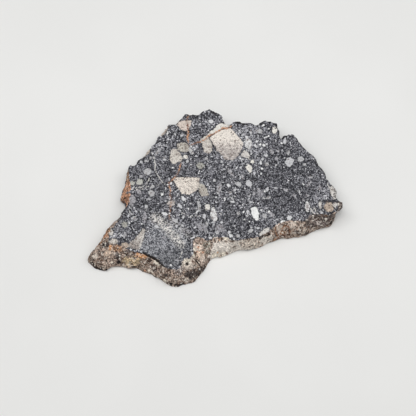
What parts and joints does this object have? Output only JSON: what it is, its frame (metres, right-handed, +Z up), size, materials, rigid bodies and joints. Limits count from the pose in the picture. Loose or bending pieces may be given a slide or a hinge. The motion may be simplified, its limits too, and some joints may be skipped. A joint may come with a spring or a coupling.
{
  "type": "lunar meteorite",
  "caption": "Thin sawn slice of a lunar breccia meteorite, flat on both faces, with pale clasts in a dark matrix and a lumpy, weathered natural edge.",
  "frame": {"origin": "on the table, under the middle of the slice's bounding box", "axes": "+X from the low left tip to the right tip, the longest extent; +Y away from the weathered front edge; +Z up, through the thickness of the slice"},
  "size_m": [0.0512, 0.0376, 0.0035],
  "materials": {
    "stone": "flat, matt to faintly satin on the sawn faces, rough and weathered brown on the edge"
  },
  "bodies": {
    "root": {"meteorite_slice": "stone"}
  },
  "joints": []
}
